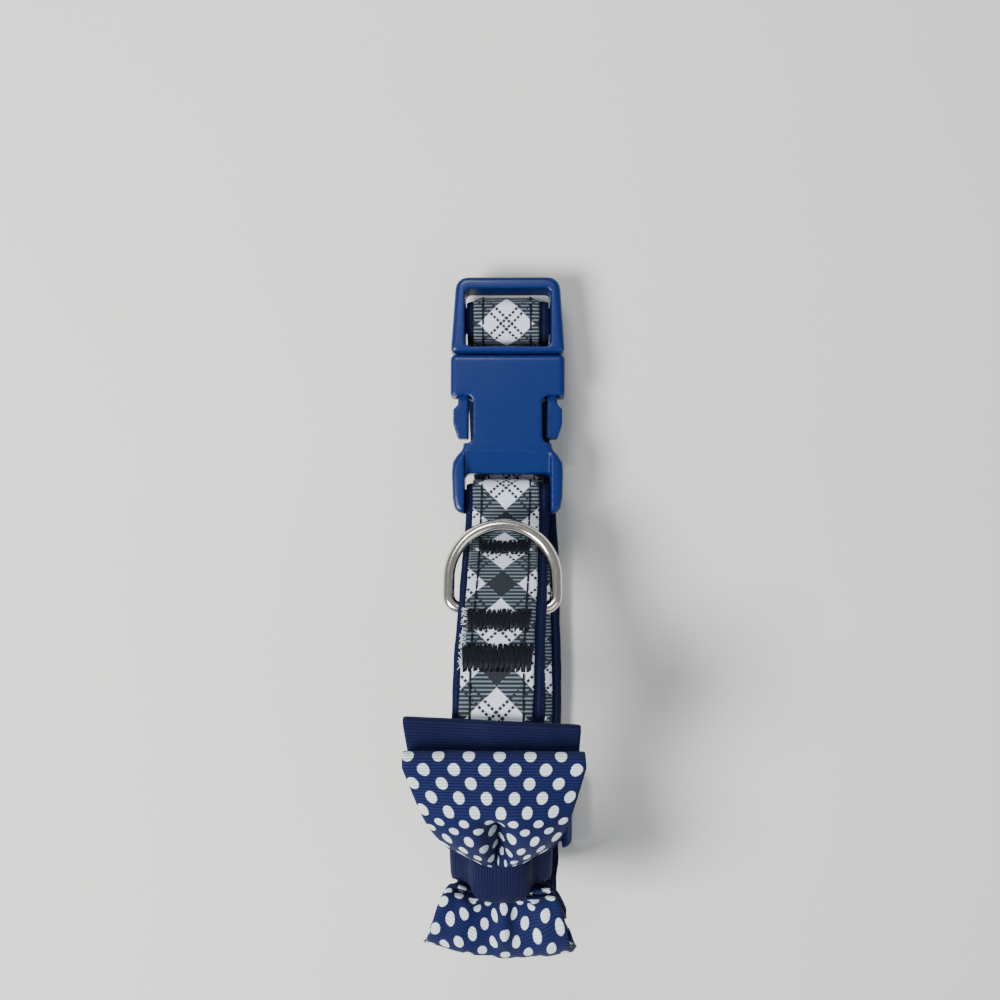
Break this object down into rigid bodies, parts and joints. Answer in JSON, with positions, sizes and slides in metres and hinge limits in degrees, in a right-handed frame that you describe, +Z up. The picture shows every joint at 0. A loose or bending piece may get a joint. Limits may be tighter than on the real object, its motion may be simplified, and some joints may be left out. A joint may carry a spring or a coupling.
{
  "type": "dog collar",
  "caption": "Buckled fabric dog collar with plaid ribbon, side-release buckle, D-ring, slider and a dotted grosgrain bow, lying as a loop.",
  "frame": {"origin": "bottom centre of the bounding box, on the surface that the collar lies on", "axes": "+Y along the collar toward the buckle's outer end, +X across the strap, +Z up"},
  "size_m": [0.0386, 0.1558, 0.0609],
  "materials": {
    "navy_webbing": "woven nylon webbing",
    "plaid_ribbon": "woven diagonal plaid in navy black and white",
    "blue_plastic": "satin moulded",
    "nickel": "polished nickel plate",
    "dotted_grosgrain": "ribbed grosgrain with white dots",
    "plain_grosgrain": "ribbed grosgrain"
  },
  "bodies": {
    "collar": {"webbing": "navy_webbing", "plaid_ribbon": "plaid_ribbon", "buckle_female": "blue_plastic", "buckle_male": "blue_plastic", "strap_slider": "blue_plastic", "bow_plain": "plain_grosgrain", "bow_dotted": "dotted_grosgrain", "bow_knot": "plain_grosgrain"},
    "ring": {"d_ring": "nickel"}
  },
  "joints": [
    {"name": "d_ring_swing", "type": "hinge", "parent": "collar", "child": "ring", "pos_m": [0.00047, 0.00064, 0.03169], "axis": [1, 0, 0], "range_deg": [0, 134]}
  ]
}
